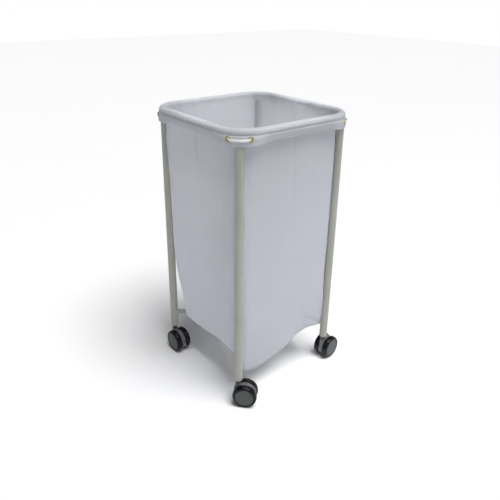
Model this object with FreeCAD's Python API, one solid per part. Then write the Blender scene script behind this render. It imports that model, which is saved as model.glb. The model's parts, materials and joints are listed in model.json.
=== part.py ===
"""Laundry cart on four twin-wheel casters: a painted tube frame that holds a lift-off fabric bag.

Millimetres, +Z up. The origin is on the floor, under the middle of the cart.
The four corners are named after the side of the cart they stand on, with the front at -Y.
"""

import FreeCAD
import Part
import math
import os

# ---- frame ----
LEG_OFFSET = 183.0  # a leg's axis from the cart's middle, along X and along Y
LEG_RADIUS = 12.7
TUBE_WALL = 1.2
LEG_BOTTOM = 89.5
RING_HEIGHT = 848.0  # the ring tube's centreline
RING_HALF = 206.0  # from the cart's middle to the centreline of a side
RING_CORNER = 75.0  # the centreline's radius at a corner
RING_RADIUS = 9.55
BRACE_HEIGHT = 142.0
BRACE_RADIUS = 8.0
WELD_GAP = 0.05  # between a tube's coped end and the tube that it is welded to

# ---- casters ----
WHEEL_RADIUS = 37.5
WHEEL_INNER_FACE = 7.8  # from the caster's mid-plane
WHEEL_OUTER_FACE = 26.2
TRAIL = 22.0  # from the swivel axis to the axle
AXLE_RADIUS = 4.0
AXLE_HALF_LENGTH = 23.5
STEM_RADIUS = 5.5
STEM_LOW = 46.0
STEM_HIGH = 122.0
RUNNING_GAP = 0.05  # radial clearance of a shaft in its hole
RIM_SEAT = 31.0  # the wheel core's outer radius, where the tyre sits
CASTER_BODY_HALF = 7.2
CASTER_BODY_RADIUS = 34.0
CASTER_BODY_LOW = 14.0
COLLAR_RADIUS = 8.0
COLLAR_LOW = 71.0
COLLAR_HIGH = 84.7
SHOULDER_RADIUS = 8.5
SHOULDER_LOW = 85.0
FLANGE_HEIGHT = 2.5
FLANGE_RADIUS = 12.3
SOCKET_HIGH = 124.0

# ---- bag ----
CLOTH = 1.2
RING_CLEARANCE = 0.4  # between the ring tube and the cloth that is folded over it
WALL_CORNER = 60.0
# height, half-width and corner radius of the bag's outside, from its rim down
WALL_SECTIONS = [
    (840.3, 190.6, WALL_CORNER),
    (420.0, 187.5, 52.0),
    (240.0, 180.5, 38.0),
    (80.0, 170.0, 20.0),
]
BRACE_CLEARANCE = 1.2  # between the cross brace and the cloth that rests over it
# the bottom edge of each side, as distance along the side and height
FRONT_HEM_LINE = [(-210, 100), (-125, 89), (-80, 85), (-17, 94), (60, 129), (103, 143), (210, 143)]
LEFT_HEM_LINE = [(-210, 148), (0, 132), (210, 140)]
HIDDEN_HEM_LINE = [(-210, 140), (0, 118), (210, 140)]

# ---- hem, elastic and eyelets ----
HEM_OUTER = 14.6  # the hem's outer face, outward from the ring's centreline
HEM_INNER = 11.7  # its inner face, which clears the legs
HEM_TOP = 845.5
HEM_BOTTOM = 822.0
CHANNEL_INNER = 12.2
CHANNEL_OUTER = 14.0
CHANNEL_HALF_HEIGHT = 4.5
ELASTIC_HEIGHT = 834.0  # the middle of the elastic and of the eyelets
ELASTIC_THICKNESS = 1.4
ELASTIC_HALF_WIDTH = 2.0
ELASTIC_INSIDE = 13.1  # the elastic's middle where it runs in the hem
ELASTIC_OUTSIDE = 16.6  # and where it shows outside, at the corners
ELASTIC_CROSSING = 40.0  # degrees between the elastic and the hem, in an eyelet
EYELET_ANGLE = 19.0  # degrees on each side of a corner's middle
EYELET_OUTER_RADIUS = 7.5
EYELET_HOLE_RADIUS = 4.0
EYELET_BARREL_RADIUS = 4.5
EYELET_FLANGE = 0.8

# corner name, sign of X, sign of Y, direction in which the caster trails (degrees from +X)
CORNERS = [
    ("front_left", -1, -1, -47.0),
    ("front_right", 1, -1, 8.0),
    ("rear_left", -1, 1, -88.0),
    ("rear_right", 1, 1, 35.0),
]

UP = FreeCAD.Vector(0, 0, 1)
ORIGIN = FreeCAD.Vector(0, 0, 0)


def vec(x, y, z):
    return FreeCAD.Vector(x, y, z)


def save(shape, node):
    shape.exportStep("parts/" + node + ".step")


def turned(shape, degrees):
    """A copy of the shape, turned about the vertical axis through the origin."""
    copy = shape.copy()
    copy.rotate(ORIGIN, UP, degrees)
    return copy


def cylinder(radius, start, end):
    """A cylinder between two points."""
    along = end.sub(start)
    return Part.makeCylinder(radius, along.Length, start, along)


def fused(shapes):
    """The shapes as one solid, with no seams left between faces of the same surface."""
    return shapes[0].multiFuse(shapes[1:]).removeSplitter()


def polygon_face(points):
    return Part.Face(Part.makePolygon(points + points[:1]))


def rounded_square(half, radius, height):
    """A closed wire: a square with rounded corners, at one height."""
    straight = half - radius
    middle = straight + radius * math.sqrt(0.5)
    edges = []
    for quarter in range(4):
        side = Part.makeLine(vec(half, -straight, height), vec(half, straight, height))
        corner = Part.Arc(
            vec(half, straight, height),
            vec(middle, middle, height),
            vec(straight, half, height),
        ).toShape()
        edges.append(turned(side, 90 * quarter))
        edges.append(turned(corner, 90 * quarter))
    return Part.Wire(edges)


def around_ring(profile):
    """Carries a face once round the ring's centreline.

    The face is drawn at the start of the right side, in the plane y = -straight.
    """
    straight = RING_HALF - RING_CORNER
    side = profile.extrude(vec(0, 2 * straight, 0))
    at_corner = profile.copy()
    at_corner.translate(vec(0, 2 * straight, 0))
    corner = at_corner.revolve(vec(straight, straight, 0), UP, 90)
    quarters = []
    for quarter in range(4):
        quarters.append(turned(side, 90 * quarter))
        quarters.append(turned(corner, 90 * quarter))
    return fused(quarters)


def ring_point(outward, height):
    """A point of a face for around_ring, by its distance outward from the ring's centreline."""
    return vec(RING_HALF + outward, RING_CORNER - RING_HALF, height)


def ring_disc(radius):
    centre = ring_point(0, RING_HEIGHT)
    circle = Part.Circle(centre, vec(0, 1, 0), radius)
    return Part.Face(Part.Wire(circle.toShape()))


def leg_point(x_sign, y_sign, height):
    return vec(x_sign * LEG_OFFSET, y_sign * LEG_OFFSET, height)


# ---- frame ----


def top_ring():
    return around_ring(ring_disc(RING_RADIUS).cut(ring_disc(RING_RADIUS - TUBE_WALL)))


def leg(x_sign, y_sign, ring_room):
    """A leg tube, coped at its top to the underside of the ring."""
    start = leg_point(x_sign, y_sign, LEG_BOTTOM)
    end = leg_point(x_sign, y_sign, RING_HEIGHT - RING_RADIUS + 1.5)
    tube = cylinder(LEG_RADIUS, start, end).cut(cylinder(LEG_RADIUS - TUBE_WALL, start, end))
    return tube.cut(ring_room)


def brace_tube(start, end):
    return cylinder(BRACE_RADIUS, start, end).cut(
        cylinder(BRACE_RADIUS - TUBE_WALL, start, end)
    )


def cope(tube, x_sign, y_sign):
    """Cuts a brace's end to the curve of the leg that it is welded to."""
    room = cylinder(
        LEG_RADIUS + WELD_GAP,
        leg_point(x_sign, y_sign, LEG_BOTTOM),
        leg_point(x_sign, y_sign, RING_HEIGHT),
    )
    return tube.cut(room)


def long_brace():
    """The diagonal that is one tube, from the rear left leg to the front right leg."""
    tube = brace_tube(leg_point(-1, 1, BRACE_HEIGHT), leg_point(1, -1, BRACE_HEIGHT))
    return cope(cope(tube, -1, 1), 1, -1)


def half_brace(sign):
    """Half of the other diagonal, welded to the middle of the long brace."""
    tube = brace_tube(leg_point(sign, sign, BRACE_HEIGHT), vec(0, 0, BRACE_HEIGHT))
    middle_room = cylinder(
        BRACE_RADIUS + WELD_GAP,
        vec(-50, 50, BRACE_HEIGHT),
        vec(50, -50, BRACE_HEIGHT),
    )
    return cope(tube, sign, sign).cut(middle_room)


def leg_socket(x_sign, y_sign):
    """The plastic plug in a leg's end, with the hole that takes the caster's stem."""
    low = leg_point(x_sign, y_sign, LEG_BOTTOM - FLANGE_HEIGHT)
    seat = leg_point(x_sign, y_sign, LEG_BOTTOM)
    high = leg_point(x_sign, y_sign, SOCKET_HIGH)
    flange = cylinder(FLANGE_RADIUS, low, seat)
    lower_edges = [e for e in flange.Edges if e.BoundBox.ZMax < low.z + 0.01]
    flange = flange.makeFillet(1.2, lower_edges)
    plug = cylinder(LEG_RADIUS - TUBE_WALL - RUNNING_GAP, seat, high)
    hole = cylinder(STEM_RADIUS + RUNNING_GAP, low, high)
    return fused([flange, plug]).cut(hole)


# ---- one caster, with its swivel axis on the Z axis and its wheels trailing along +X ----


def caster_stem():
    """The steel pin that the caster swivels on, with the shoulder that carries the leg."""
    pin = cylinder(STEM_RADIUS, vec(0, 0, STEM_LOW), vec(0, 0, STEM_HIGH))
    top_edges = [e for e in pin.Edges if e.BoundBox.ZMin > STEM_HIGH - 0.01]
    pin = pin.makeChamfer(1.0, top_edges)
    shoulder = cylinder(
        SHOULDER_RADIUS,
        vec(0, 0, SHOULDER_LOW),
        vec(0, 0, LEG_BOTTOM - FLANGE_HEIGHT),
    )
    return fused([pin, shoulder])


def caster_body():
    """The body between the wheels: a round fender, and the upright boss round the stem."""
    axle_point = vec(TRAIL, -CASTER_BODY_HALF, WHEEL_RADIUS)
    fender = Part.makeCylinder(
        CASTER_BODY_RADIUS, 2 * CASTER_BODY_HALF, axle_point, vec(0, 1, 0)
    )
    below = Part.makeBox(200, 200, CASTER_BODY_LOW, vec(-100, -100, 0))
    fender = fender.cut(below)
    boss = Part.makeBox(
        2 * COLLAR_RADIUS,
        2 * CASTER_BODY_HALF,
        COLLAR_LOW - WHEEL_RADIUS,
        vec(-COLLAR_RADIUS, -CASTER_BODY_HALF, WHEEL_RADIUS),
    )
    collar = cylinder(COLLAR_RADIUS, vec(0, 0, COLLAR_LOW), vec(0, 0, COLLAR_HIGH))
    stem_hole = cylinder(
        STEM_RADIUS + RUNNING_GAP, vec(0, 0, STEM_LOW - 1), vec(0, 0, COLLAR_HIGH)
    )
    axle_hole = Part.makeCylinder(
        AXLE_RADIUS + RUNNING_GAP, 2 * CASTER_BODY_HALF, axle_point, vec(0, 1, 0)
    )
    return fused([fender, boss, collar]).cut(stem_hole).cut(axle_hole)


def caster_axle():
    axle = cylinder(
        AXLE_RADIUS,
        vec(TRAIL, -AXLE_HALF_LENGTH, WHEEL_RADIUS),
        vec(TRAIL, AXLE_HALF_LENGTH, WHEEL_RADIUS),
    )
    ends = [e for e in axle.Edges if e.BoundBox.YLength < 0.01]
    return axle.makeChamfer(0.6, ends)


def wheel_revolve(outline):
    """A ring turned about the axle, from an outline of (radius, distance from mid-plane)."""
    points = [vec(TRAIL + radius, side, WHEEL_RADIUS) for radius, side in outline]
    axle_point = vec(TRAIL, 0, WHEEL_RADIUS)
    return polygon_face(points).revolve(axle_point, vec(0, 1, 0), 360)


def wheel_core():
    """The plastic wheel: a hub, a thin web and the rim that the tyre sits on."""
    bore = AXLE_RADIUS + RUNNING_GAP
    hub = 9.0
    rim = RIM_SEAT - 3.0
    web_inner = 15.0
    web_outer = 18.0
    hub_inner = WHEEL_INNER_FACE + 0.2
    rim_inner = WHEEL_INNER_FACE + 0.6
    cap_seat = 24.4
    return wheel_revolve(
        [
            (bore, hub_inner),
            (hub, hub_inner),
            (hub, web_inner),
            (rim, web_inner),
            (rim, rim_inner),
            (RIM_SEAT, rim_inner),
            (RIM_SEAT, cap_seat),
            (rim, cap_seat),
            (rim, web_outer),
            (hub, web_outer),
            (hub, AXLE_HALF_LENGTH),
            (bore, AXLE_HALF_LENGTH),
        ]
    )


def tyre():
    """The rubber tyre: a flat tread with rounded shoulders, deeper on the outer side."""
    seat = RIM_SEAT + RUNNING_GAP
    inner = WHEEL_INNER_FACE
    outer = WHEEL_OUTER_FACE
    ring = wheel_revolve(
        [
            (seat, inner),
            (WHEEL_RADIUS - 2.5, inner),
            (WHEEL_RADIUS - 0.7, inner + 1.2),
            (WHEEL_RADIUS, inner + 3.2),
            (WHEEL_RADIUS, outer - 7.5),
            (WHEEL_RADIUS - 0.8, outer - 4.0),
            (WHEEL_RADIUS - 2.6, outer - 1.2),
            (WHEEL_RADIUS - 4.6, outer),
            (seat, outer),
        ]
    )
    return ring


def hub_cap():
    """The domed cap that snaps over a wheel's outer side, with the skirt that holds it."""
    back = 24.5
    edge = RIM_SEAT - 1.0
    skirt = RIM_SEAT - 3.0 - RUNNING_GAP
    return wheel_revolve(
        [
            (0, back),
            (skirt - 2.0, back),
            (skirt - 2.0, back - 4.0),
            (skirt, back - 4.0),
            (skirt, back),
            (edge, back),
            (edge, back + 1.5),
            (edge - 1.4, back + 2.5),
            (edge - 5.0, back + 2.9),
            (0, back + 3.2),
        ]
    )


def other_side(shape):
    """The same wheel piece on the other side of its caster."""
    return shape.mirror(ORIGIN, vec(0, 1, 0))


def placed_caster(shape, corner):
    """A copy of a caster piece, turned to its trailing direction and set under its leg."""
    _, x_sign, y_sign, trail_direction = corner
    copy = turned(shape, trail_direction)
    copy.translate(leg_point(x_sign, y_sign, 0))
    return copy


# ---- bag ----


def bag_body(inset):
    """The bag's walls as one solid block, moved inward by the inset, up to the ring's middle."""
    top_half = RING_HALF - RING_RADIUS - RING_CLEARANCE
    top_corner = RING_CORNER - RING_RADIUS - RING_CLEARANCE
    sections = [(RING_HEIGHT, top_half, top_corner)] + WALL_SECTIONS
    wires = [rounded_square(half - inset, radius - inset, z) for z, half, radius in sections]
    return Part.makeLoft(wires, True, True)


def brace_groove(inset):
    """The space that the cross brace takes out of the bag's bottom."""
    radius = BRACE_RADIUS + BRACE_CLEARANCE + inset
    reach = 400.0
    start = vec(-reach, 0, BRACE_HEIGHT)
    saddle = cylinder(radius, start, vec(reach, 0, BRACE_HEIGHT))
    slot = Part.makeBox(2 * reach, 2 * radius, BRACE_HEIGHT, vec(-reach, -radius, 0))
    arm = fused([saddle, slot])
    return fused([turned(arm, 45), turned(arm, -45)])


def below_hem_line(line, inset):
    """What is cut away under the front side's bottom edge, back to the middle of the bag."""
    reach = 210.0
    outline = [vec(u, -reach, z + inset) for u, z in line]
    outline = [vec(-reach, -reach, 0)] + outline + [vec(reach, -reach, 0)]
    block = polygon_face(outline).extrude(vec(0, reach, 0))
    wedge = polygon_face([vec(0, 0, 0), vec(-reach, -reach, 0), vec(reach, -reach, 0)])
    return block.common(wedge.extrude(vec(0, 0, RING_HEIGHT)))


def bag_block(inset):
    """The bag as a solid: its walls, with the bottom that hangs between the brace's arms."""
    block = bag_body(inset)
    lines = [FRONT_HEM_LINE, HIDDEN_HEM_LINE, HIDDEN_HEM_LINE, LEFT_HEM_LINE]
    for quarter, line in enumerate(lines):
        block = block.cut(turned(below_hem_line(line, inset), 90 * quarter))
    return block.cut(brace_groove(inset))


def bag_walls():
    """The cloth of the four sides, trimmed at the bottom."""
    return bag_body(0).cut(bag_body(CLOTH)).common(bag_block(0))


def bag_panel(quarter):
    """One side of the bag, between the middles of two corners."""
    reach = 400.0
    wedge = polygon_face([vec(0, 0, 0), vec(reach, -reach, 0), vec(reach, reach, 0)])
    return bag_walls().common(turned(wedge.extrude(vec(0, 0, RING_HEIGHT)), 90 * quarter))


def bag_bottom():
    """The cloth that lies over the cross brace and hangs between its arms."""
    return bag_block(0).common(bag_body(CLOTH)).cut(bag_block(CLOTH))


# ---- hem, elastic and eyelets ----


def hem_cloth():
    """The cloth folded over the ring, and the double hem that hangs outside it."""
    inner = RING_RADIUS + RING_CLEARANCE
    outer = inner + CLOTH
    fold = ring_disc(outer).cut(ring_disc(inner))
    lower_half = polygon_face(
        [
            ring_point(-20, RING_HEIGHT),
            ring_point(20, RING_HEIGHT),
            ring_point(20, RING_HEIGHT - 20),
            ring_point(-20, RING_HEIGHT - 20),
        ]
    )
    fold = fold.cut(lower_half)
    hem = polygon_face(
        [
            ring_point(inner, RING_HEIGHT),
            ring_point(outer, RING_HEIGHT),
            ring_point(HEM_OUTER, HEM_TOP),
            ring_point(HEM_OUTER, HEM_BOTTOM),
            ring_point(HEM_INNER, HEM_BOTTOM),
            ring_point(HEM_INNER, HEM_TOP - CLOTH),
            ring_point(inner, RING_HEIGHT - CLOTH),
        ]
    )
    channel = polygon_face(
        [
            ring_point(CHANNEL_INNER, ELASTIC_HEIGHT + CHANNEL_HALF_HEIGHT),
            ring_point(CHANNEL_OUTER, ELASTIC_HEIGHT + CHANNEL_HALF_HEIGHT),
            ring_point(CHANNEL_OUTER, ELASTIC_HEIGHT - CHANNEL_HALF_HEIGHT),
            ring_point(CHANNEL_INNER, ELASTIC_HEIGHT - CHANNEL_HALF_HEIGHT),
        ]
    )
    return fused([around_ring(fold), around_ring(hem.cut(channel))])


def corner_centre(height):
    """The point that the rear right corner of the ring is turned about."""
    straight = RING_HALF - RING_CORNER
    return vec(straight, straight, height)


def at_corner(shape, degrees):
    """Moves a shape made along +X from the origin to a direction from the corner's centre."""
    copy = turned(shape, degrees)
    copy.translate(corner_centre(ELASTIC_HEIGHT))
    return copy


def eyelet_angles():
    return [45 - EYELET_ANGLE, 45 + EYELET_ANGLE]


def eyelet():
    """One brass eyelet, along +X, with its flange on the hem's outer face."""
    face = RING_CORNER + HEM_OUTER
    flange = cylinder(
        EYELET_OUTER_RADIUS,
        vec(face + RUNNING_GAP, 0, 0),
        vec(face + RUNNING_GAP + EYELET_FLANGE, 0, 0),
    )
    front = [e for e in flange.Edges if e.BoundBox.XMin > face + EYELET_FLANGE]
    flange = flange.makeFillet(0.5, front)
    barrel = cylinder(
        EYELET_BARREL_RADIUS,
        vec(RING_CORNER + CHANNEL_OUTER, 0, 0),
        vec(face + 0.5, 0, 0),
    )
    hole = cylinder(EYELET_HOLE_RADIUS, vec(face - 10, 0, 0), vec(face + 10, 0, 0))
    return fused([flange, barrel]).cut(hole)


def eyelet_holes():
    """The holes in the hem's outer layer, one at each eyelet."""
    hole = cylinder(
        EYELET_BARREL_RADIUS + 0.1,
        vec(RING_CORNER + CHANNEL_OUTER - 0.5, 0, 0),
        vec(RING_CORNER + HEM_OUTER + 2, 0, 0),
    )
    corner = [at_corner(hole, angle) for angle in eyelet_angles()]
    return [turned(shape, 90 * quarter) for quarter in range(4) for shape in corner]


def eyelets():
    corner = [at_corner(eyelet(), angle) for angle in eyelet_angles()]
    return Part.makeCompound(
        [turned(shape, 90 * quarter) for quarter in range(4) for shape in corner]
    )


def elastic_arc(outward, start_angle, end_angle):
    """A stretch of the elastic round the rear right corner, between two directions."""
    middle = RING_CORNER + outward
    points = [
        vec(middle - ELASTIC_THICKNESS / 2, 0, -ELASTIC_HALF_WIDTH),
        vec(middle + ELASTIC_THICKNESS / 2, 0, -ELASTIC_HALF_WIDTH),
        vec(middle + ELASTIC_THICKNESS / 2, 0, ELASTIC_HALF_WIDTH),
        vec(middle - ELASTIC_THICKNESS / 2, 0, ELASTIC_HALF_WIDTH),
    ]
    arc = polygon_face(points).revolve(ORIGIN, UP, end_angle - start_angle)
    return at_corner(arc, start_angle)


def elastic_crossing(turn):
    """The short stretch that slants through an eyelet, made at the direction of +X."""
    rise = ELASTIC_OUTSIDE - ELASTIC_INSIDE
    slant = math.radians(ELASTIC_CROSSING)
    length = rise / math.sin(slant) + 0.6
    piece = Part.makeBox(
        ELASTIC_THICKNESS,
        length,
        2 * ELASTIC_HALF_WIDTH,
        vec(-ELASTIC_THICKNESS / 2, -length / 2, -ELASTIC_HALF_WIDTH),
    )
    piece.rotate(ORIGIN, UP, -turn * ELASTIC_CROSSING)
    piece.translate(vec(RING_CORNER + (ELASTIC_INSIDE + ELASTIC_OUTSIDE) / 2, 0, 0))
    return piece


def elastic():
    """The elastic loop: in the hem along each side, and out through two eyelets at a corner."""
    rise = ELASTIC_OUTSIDE - ELASTIC_INSIDE
    half_run = rise / math.tan(math.radians(ELASTIC_CROSSING)) / 2
    spread = math.degrees(half_run / (RING_CORNER + ELASTIC_INSIDE))
    first, second = eyelet_angles()
    straight = RING_HALF - RING_CORNER
    side = Part.makeBox(
        ELASTIC_THICKNESS,
        2 * straight,
        2 * ELASTIC_HALF_WIDTH,
        vec(
            RING_HALF + ELASTIC_INSIDE - ELASTIC_THICKNESS / 2,
            -straight,
            ELASTIC_HEIGHT - ELASTIC_HALF_WIDTH,
        ),
    )
    quarter_pieces = [
        side,
        elastic_arc(ELASTIC_INSIDE, 0, first - spread),
        at_corner(elastic_crossing(1), first),
        elastic_arc(ELASTIC_OUTSIDE, first + spread, second - spread),
        at_corner(elastic_crossing(-1), second),
        elastic_arc(ELASTIC_INSIDE, second + spread, 90),
    ]
    return fused([turned(piece, 90 * quarter) for quarter in range(4) for piece in quarter_pieces])


# ---- the whole cart ----


def save_frame():
    ring_room = around_ring(ring_disc(RING_RADIUS + WELD_GAP))
    save(top_ring(), "top_ring")
    for name, x_sign, y_sign, _ in CORNERS:
        save(leg(x_sign, y_sign, ring_room), "leg_" + name)
        save(leg_socket(x_sign, y_sign), "leg_socket_" + name)
    save(long_brace(), "brace_long")
    save(half_brace(-1), "brace_half_front")
    save(half_brace(1), "brace_half_rear")


def save_casters():
    single = {
        "caster_stem_": caster_stem(),
        "caster_body_": caster_body(),
        "caster_axle_": caster_axle(),
    }
    paired = {"wheel_core_": wheel_core(), "tyre_": tyre(), "hub_cap_": hub_cap()}
    for corner in CORNERS:
        for prefix, shape in single.items():
            save(placed_caster(shape, corner), prefix + corner[0])
        for prefix, shape in paired.items():
            save(placed_caster(shape, corner), prefix + corner[0] + "_1")
            save(placed_caster(other_side(shape), corner), prefix + corner[0] + "_2")


def save_bag():
    for quarter, side in enumerate(["right", "rear", "left", "front"]):
        save(bag_panel(quarter), "bag_panel_" + side)
    save(bag_bottom(), "bag_bottom")
    save(hem_cloth().cut(Part.makeCompound(eyelet_holes())), "bag_hem")
    save(elastic(), "elastic_loop")
    save(eyelets(), "eyelets")


os.makedirs("parts", exist_ok=True)
save_frame()
save_casters()
save_bag()
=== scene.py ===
import json
import math

import bmesh
import bpy
import numpy as np
from mathutils import Matrix, Vector, noise

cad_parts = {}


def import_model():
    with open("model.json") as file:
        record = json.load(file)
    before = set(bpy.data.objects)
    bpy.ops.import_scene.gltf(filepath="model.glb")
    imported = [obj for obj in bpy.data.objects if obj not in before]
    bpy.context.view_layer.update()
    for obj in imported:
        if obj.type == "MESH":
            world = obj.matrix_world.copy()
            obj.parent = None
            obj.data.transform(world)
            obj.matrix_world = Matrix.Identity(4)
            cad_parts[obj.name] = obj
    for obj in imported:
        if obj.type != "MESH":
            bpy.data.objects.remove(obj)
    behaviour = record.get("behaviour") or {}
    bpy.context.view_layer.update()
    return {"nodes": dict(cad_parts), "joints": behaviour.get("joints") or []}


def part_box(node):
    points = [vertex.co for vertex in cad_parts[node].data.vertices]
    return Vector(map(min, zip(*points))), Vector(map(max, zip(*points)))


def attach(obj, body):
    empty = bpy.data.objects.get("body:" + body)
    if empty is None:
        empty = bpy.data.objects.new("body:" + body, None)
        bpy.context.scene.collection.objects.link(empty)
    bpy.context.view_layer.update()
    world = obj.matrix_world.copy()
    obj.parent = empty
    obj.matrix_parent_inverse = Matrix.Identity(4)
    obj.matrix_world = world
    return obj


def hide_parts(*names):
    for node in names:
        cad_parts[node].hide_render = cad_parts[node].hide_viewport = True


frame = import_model()

MM = 0.001

# ---- sizes read from the frame ----
RING_LOW, RING_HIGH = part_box("top_ring")
RING_TUBE = (RING_HIGH.z - RING_LOW.z) / 2
RING_Z = (RING_HIGH.z + RING_LOW.z) / 2
RING_HALF = RING_HIGH.x - RING_TUBE
LEG_LOW, LEG_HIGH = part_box("leg_front_right")
LEG_OFFSET = (LEG_LOW.x + LEG_HIGH.x) / 2
LEG_RADIUS = (LEG_HIGH.x - LEG_LOW.x) / 2
BRACE_LOW, BRACE_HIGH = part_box("brace_long")
BRACE_RADIUS = (BRACE_HIGH.z - BRACE_LOW.z) / 2
BRACE_Z = (BRACE_HIGH.z + BRACE_LOW.z) / 2
HEM_LOW, HEM_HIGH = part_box("bag_hem")
JOINTS = {joint["name"]: joint for joint in frame["joints"]}
CORNER_NAMES = ["front_left", "front_right", "rear_left", "rear_right"]

# ---- bag: columns run round it, rows run down it ----
RING_CORNER = 75 * MM  # radius of the ring's centreline at a corner
SIDE_COLUMNS = 56
CORNER_COLUMNS = 24
QUARTER = SIDE_COLUMNS + CORNER_COLUMNS
COLUMNS = 4 * QUARTER
WALL_ROWS = 100
CLOTH = 0.8 * MM
ROLL_RADIUS = RING_TUBE + 1.35 * MM  # the cloth's middle, where it is folded over the ring

# The hem that hangs outside the ring, from the top of its back layer round its bottom edge and
# up to the crease under the roll. Each row is the distance outward from the ring's centreline
# and the height from it, on a side, and then where the hem passes over a leg at a corner.
HEM_PROFILE = [
    (8.8, -7.5, 11.9, -9.2),
    (7.7, -12.0, 11.8, -13.0),
    (4.9, -18.0, 11.8, -20.0),
    (2.6, -24.0, 11.8, -27.0),
    (1.8, -27.3, 12.0, -31.0),
    (2.6, -28.4, 12.9, -32.0),
    (3.7, -27.6, 13.6, -31.0),
    (4.7, -25.6, 13.8, -28.8),
    (5.6, -23.0, 13.7, -26.0),
    (7.6, -18.0, 13.8, -20.0),
    (9.9, -12.5, 13.7, -13.0),
    (11.0, -9.2, 13.4, -9.6),
    (10.6, -7.2, 12.2, -7.6),
    (8.9, -5.9, 10.0, -6.1),
    (9.2, -5.0, 9.9, -5.1),
]
STITCH_ROW = 8  # the row of HEM_PROFILE that the hem's seam is sewn along
HALF_TURN = RING_CORNER * math.pi / 4  # along the ring, from a corner's middle to its end
LEG_FULL = 33 * MM  # the hem has its shape over a leg this far from a corner's middle
LEG_FADE = 92 * MM  # and its shape along a side from here
# height, half-width and corner radius of the walls, from under the roll down
WALL_SECTIONS = [
    (841.0, 194.2, 62.0),
    (822.0, 191.4, 58.0),
    (780.0, 190.6, 52.0),
    (700.0, 190.0, 47.0),
    (420.0, 187.5, 42.0),
    (240.0, 180.5, 36.0),
    (150.0, 174.0, 24.0),
    (80.0, 170.0, 20.0),
]
# how much rounder each corner is low down: rear right, rear left, front left, front right
CORNER_SLACK = [0.0, 28.0, 0.0, -13.0]
SLACK_TOP = 330 * MM
SLACK_BOTTOM = 170 * MM
# quarters run anticlockwise from above: the right side is 0 and the rear side is 1
LEFT_SIDE = 2
FRONT_SIDE = 3
HOLLOW = 2.5 * MM  # how far a wall's middle is pulled in, twice as much on the left side
HOLLOW_FROM = 250 * MM  # below the rim by this much, and less above
TURN_UNDER = 4 * MM  # how far the walls turn in at the bottom seam
CORNER_LOOSE = 0.35  # a corner is pulled tight, and has this share of the sides' folds
# the lower part of the bag leans towards the front right leg by this much, along X and Y
LEAN = 5 * MM
LEAN_TOP = 420 * MM
LEAN_BOTTOM = 200 * MM
# The walls' bottom edge on each side, as a place along it and a height. The places run with
# +Y on the right side, -X on the rear, -Y on the left and +X on the front.
RIGHT_EDGE = [(-172, 142), (-120, 132), (-60, 119), (0, 115), (60, 119), (120, 132), (172, 146)]
REAR_EDGE = [(-172, 146), (-120, 130), (-60, 117), (10, 112), (70, 120), (120, 134), (155, 146)]
LEFT_EDGE = [
    (-155, 147),
    (-123, 144),
    (-91, 141),
    (-38, 142),
    (7, 143),
    (64, 152),
    (104, 154),
    (172, 150),
]
FRONT_EDGE = [
    (-172, 124),
    (-162, 106),
    (-148, 94),
    (-131, 84),
    (-105, 80),
    (-74, 82),
    (-21, 94),
    (23, 109),
    (61, 134),
    (84, 141),
    (104, 145),
    (135, 142),
    (158, 134),
    (172, 131),
]

# ---- eyelets and elastic ----
EYELET_ANGLE = 19.0
EYELET_Z = -14.0 * MM  # from the ring's centreline
EYELET_RADIUS = 7.5 * MM
EYELET_HOLE = 4.0 * MM
HEM_FACE = 14.2 * MM  # the hem's outer face at the eyelets, from the ring's centreline

# ---- casters ----
WHEEL_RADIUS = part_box("tyre_front_left_1")[1].z / 2


# ==== meshes ====


def new_object(name, vertices, faces, smooth_angle=35.0):
    """A mesh object with smooth shading, kept sharp at edges over the angle."""
    mesh = bpy.data.meshes.new(name)
    mesh.from_pydata([tuple(v) for v in vertices], [], faces)
    mesh.validate()
    obj = bpy.data.objects.new(name, mesh)
    bpy.context.scene.collection.objects.link(obj)
    outward_normals(obj)
    mesh.shade_smooth()
    mesh.set_sharp_from_angle(angle=math.radians(smooth_angle))
    return obj


def outward_normals(obj):
    work = bmesh.new()
    work.from_mesh(obj.data)
    bmesh.ops.recalc_face_normals(work, faces=work.faces)
    work.to_mesh(obj.data)
    work.free()


def apply_modifiers(obj):
    """Replaces the object's mesh with what its modifiers make of it."""
    graph = bpy.context.evaluated_depsgraph_get()
    mesh = bpy.data.meshes.new_from_object(obj.evaluated_get(graph))
    obj.modifiers.clear()
    old = obj.data
    obj.data = mesh
    bpy.data.meshes.remove(old)


def boolean(obj, others, operation):
    """Cuts other objects out of this one, or joins them to it, and removes them."""
    for other in others:
        modifier = obj.modifiers.new("boolean", "BOOLEAN")
        modifier.operation = operation
        modifier.solver = "EXACT"
        modifier.object = other
    apply_modifiers(obj)
    for other in others:
        bpy.data.objects.remove(other)


def copy_of(obj, name, matrix):
    copy = bpy.data.objects.new(name, obj.data.copy())
    copy.data.transform(matrix)
    bpy.context.scene.collection.objects.link(copy)
    return copy


def skin(rings, count, closed=True, start=0):
    """Faces between each ring of points and the next, and back to the first if closed."""
    faces = []
    for ring in range(rings if closed else rings - 1):
        here = start + ring * count
        there = start + (ring + 1) % rings * count
        for k in range(count):
            m = (k + 1) % count
            faces.append((here + k, here + m, there + m, there + k))
    return faces


def lathe(name, profile, segments=72):
    """Turns an outline of (radius, distance along the axis) about the Y axis."""
    vertices = []
    for step in range(segments):
        angle = 2 * math.pi * step / segments
        for radius, along in profile:
            vertices.append((radius * math.cos(angle), along, radius * math.sin(angle)))
    obj = new_object(name, vertices, skin(segments, len(profile)))
    work = bmesh.new()
    work.from_mesh(obj.data)
    bmesh.ops.remove_doubles(work, verts=work.verts, dist=0.001 * MM)
    work.to_mesh(obj.data)
    work.free()
    return obj


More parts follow.
